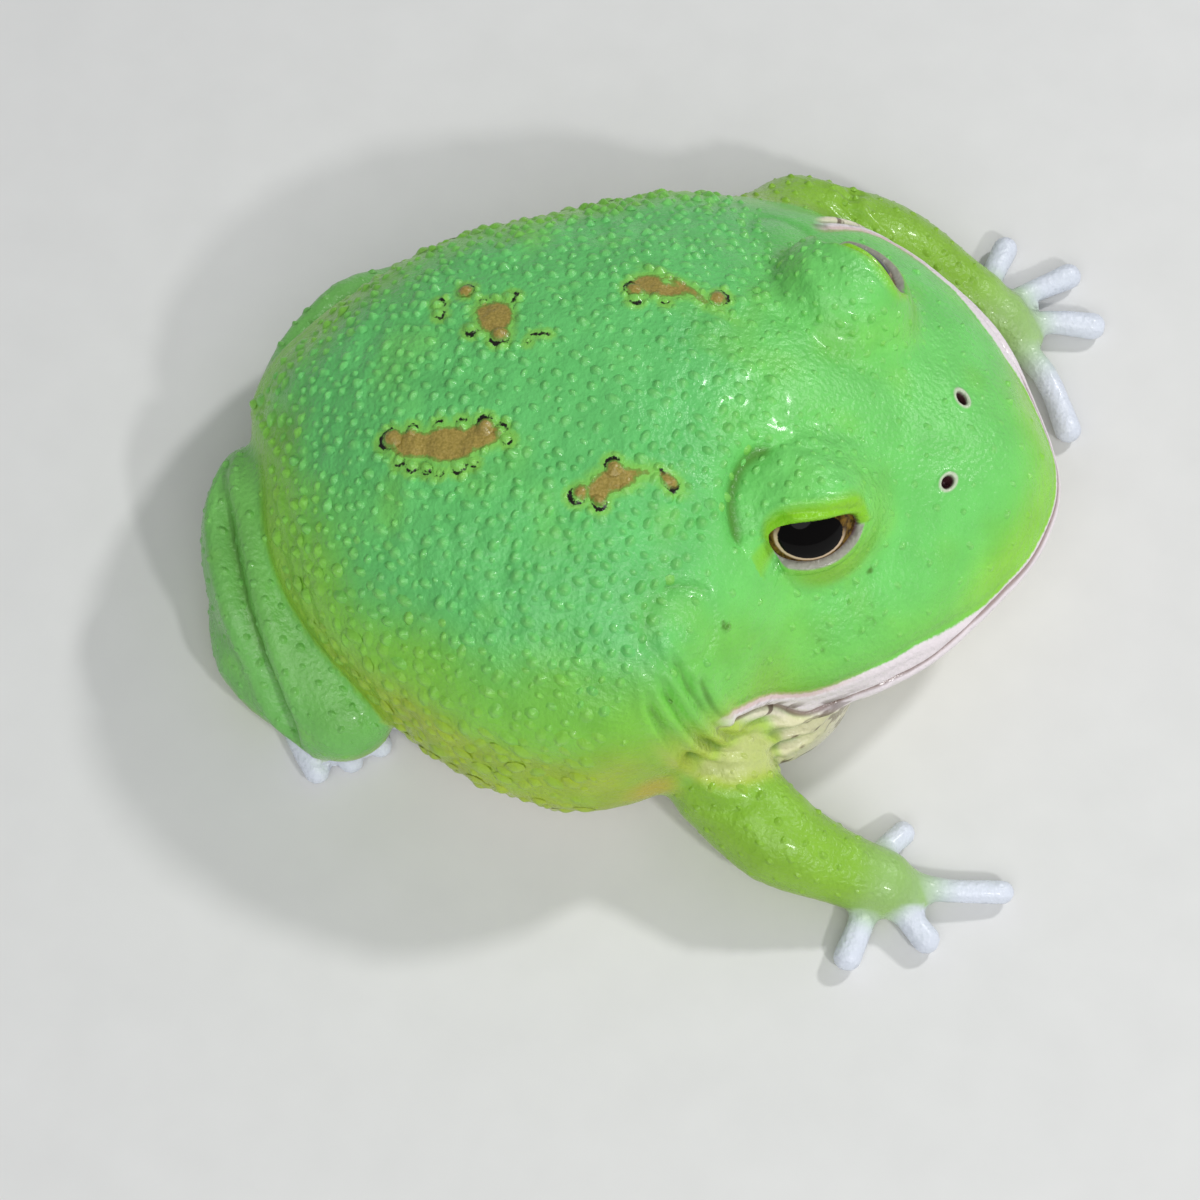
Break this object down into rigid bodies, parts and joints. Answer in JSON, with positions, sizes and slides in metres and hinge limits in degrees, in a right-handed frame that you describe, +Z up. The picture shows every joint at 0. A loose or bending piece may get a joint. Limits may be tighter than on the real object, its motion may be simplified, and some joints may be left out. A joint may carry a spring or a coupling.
{
  "type": "horned frog model",
  "caption": "Life-size still model of a squat green horned frog sitting flat, broad head low, hands spread forward and hind legs folded",
  "frame": {"origin": "centre of the bottom of the bounding box, on the surface that the frog sits on", "axes": "+X towards the snout, +Y towards the frog's left, +Z up"},
  "size_m": [0.0782, 0.0762, 0.032],
  "materials": {
    "back_skin": "wet gloss, warty",
    "head_skin": "wet gloss",
    "jaw_skin": "wet gloss",
    "limb_skin": "wet gloss",
    "digit_skin": "wet satin",
    "eye": "wet gloss"
  },
  "bodies": {
    "root": {"torso": "back_skin", "head": "head_skin", "lower_jaw": "jaw_skin", "eye_right": "eye", "eye_left": "eye", "upper_arm_right": "limb_skin", "forearm_right": "limb_skin", "hand_right": "digit_skin", "thigh_right": "limb_skin", "shank_right": "limb_skin", "foot_right": "digit_skin", "upper_arm_left": "limb_skin", "forearm_left": "limb_skin", "hand_left": "digit_skin", "thigh_left": "limb_skin", "shank_left": "limb_skin", "foot_left": "digit_skin"}
  },
  "joints": []
}
